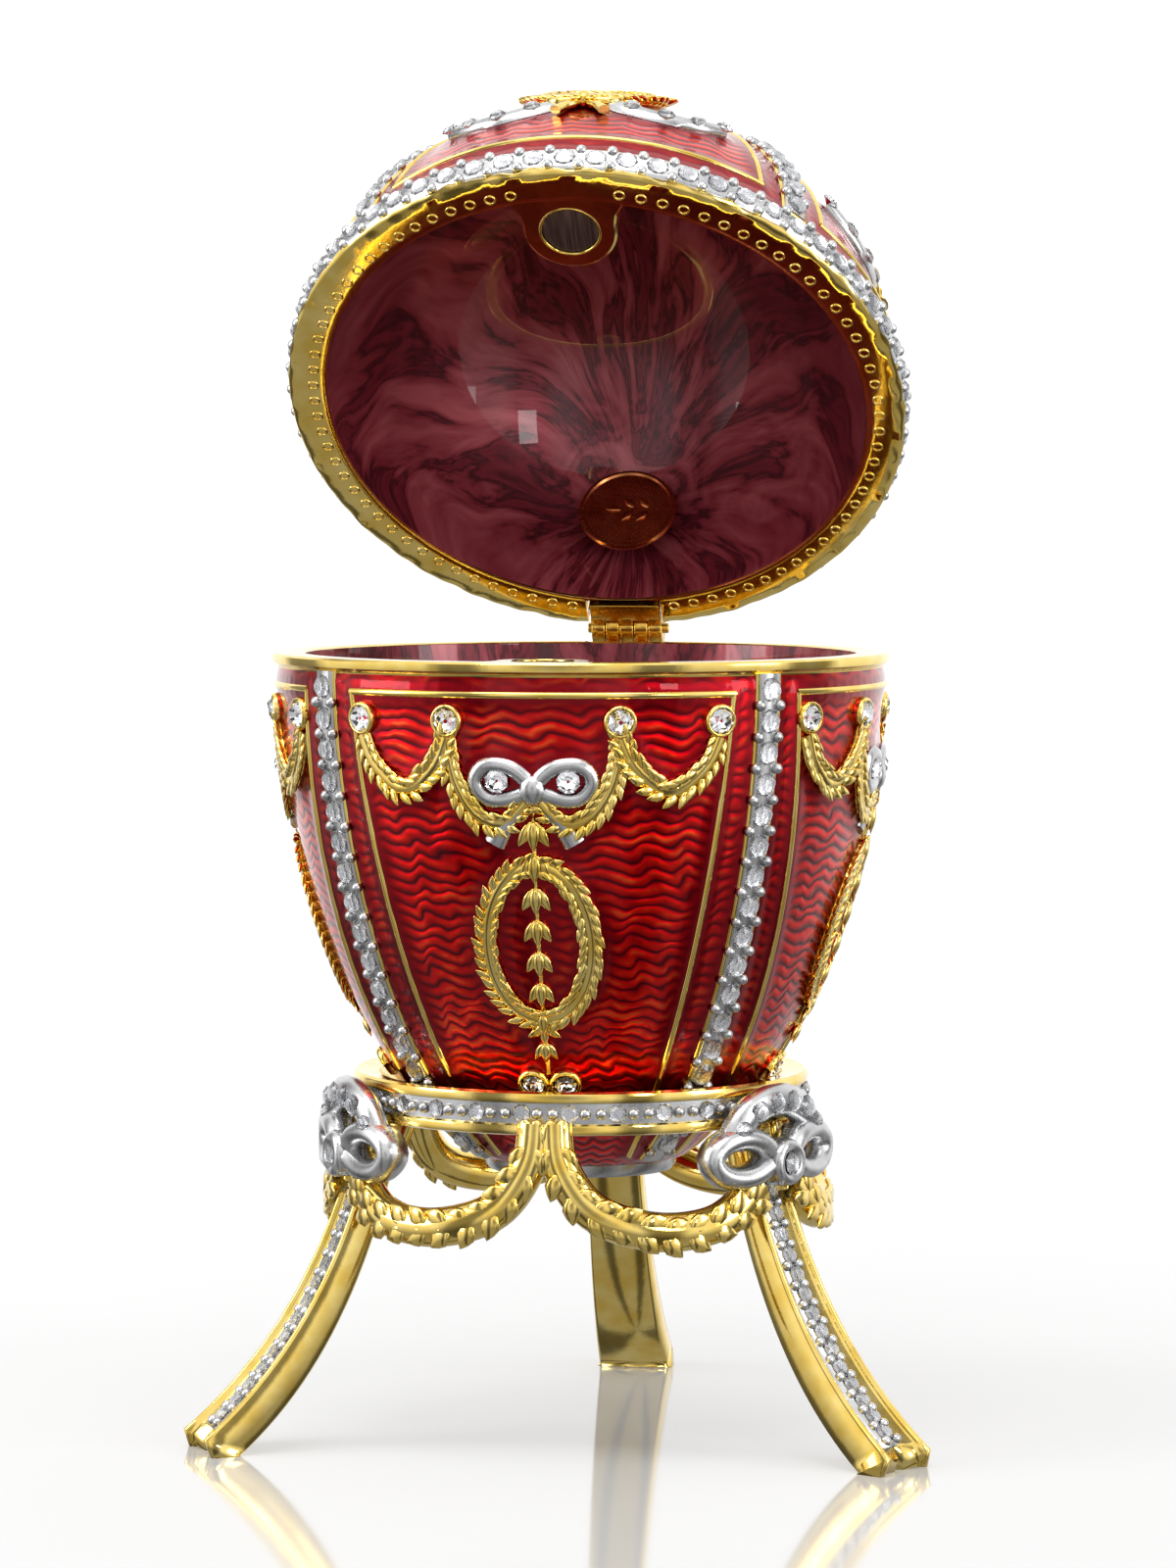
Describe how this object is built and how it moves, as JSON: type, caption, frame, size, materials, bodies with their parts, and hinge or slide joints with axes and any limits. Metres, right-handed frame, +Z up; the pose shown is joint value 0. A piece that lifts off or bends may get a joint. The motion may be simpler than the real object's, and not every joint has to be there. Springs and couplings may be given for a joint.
{
  "type": "jewelled egg trinket box",
  "caption": "Hinged egg-shaped trinket box of gold-plated metal and red enamel, set with crystals, standing open on a ring with sabre legs, bows and laurel swags.",
  "frame": {"origin": "on the floor, under the middle of the bounding box at rest", "axes": "+Z up, -Y towards the front panel, +X to the right of someone facing it; the hinge pin lies along X at the back"},
  "size_m": [0.0746, 0.0728, 0.1349],
  "materials": {
    "gold_plate": "polished gold plate",
    "red_enamel": "clear red enamel over a waved ground, with gold and silver plated relief",
    "hinge_brass": "satin gold plate",
    "magnet_steel": "ground grey magnet",
    "crystal": "cut foil-backed crystal"
  },
  "bodies": {
    "base": {"stand": "gold_plate", "bowl": "red_enamel", "hinge_leaf_bowl": "hinge_brass", "hinge_pin": "hinge_brass", "magnet_bowl": "magnet_steel", "crystal_panel1_1": "crystal", "crystal_panel1_2": "crystal", "crystal_panel1_3": "crystal", "crystal_panel1_4": "crystal", "crystal_panel2_1": "crystal", "crystal_panel2_2": "crystal", "crystal_panel2_3": "crystal", "crystal_panel2_4": "crystal", "crystal_panel3_1": "crystal", "crystal_panel3_2": "crystal", "crystal_panel3_3": "crystal", "crystal_panel3_4": "crystal", "crystal_panel4_1": "crystal", "crystal_panel4_2": "crystal", "crystal_panel4_3": "crystal", "crystal_panel4_4": "crystal", "crystal_bow_1": "crystal", "crystal_bow_2": "crystal", "crystal_bow_3": "crystal"},
    "lid": {"lid": "red_enamel", "hinge_leaf_lid": "hinge_brass", "magnet_lid": "magnet_steel", "plaque": "gold_plate"}
  },
  "joints": [
    {"name": "lid_hinge", "type": "hinge", "parent": "base", "child": "lid", "pos_m": [0, 0.02752, 0.0798], "axis": [-1, 0, 0], "range_deg": [-46.5, 48.5]}
  ]
}
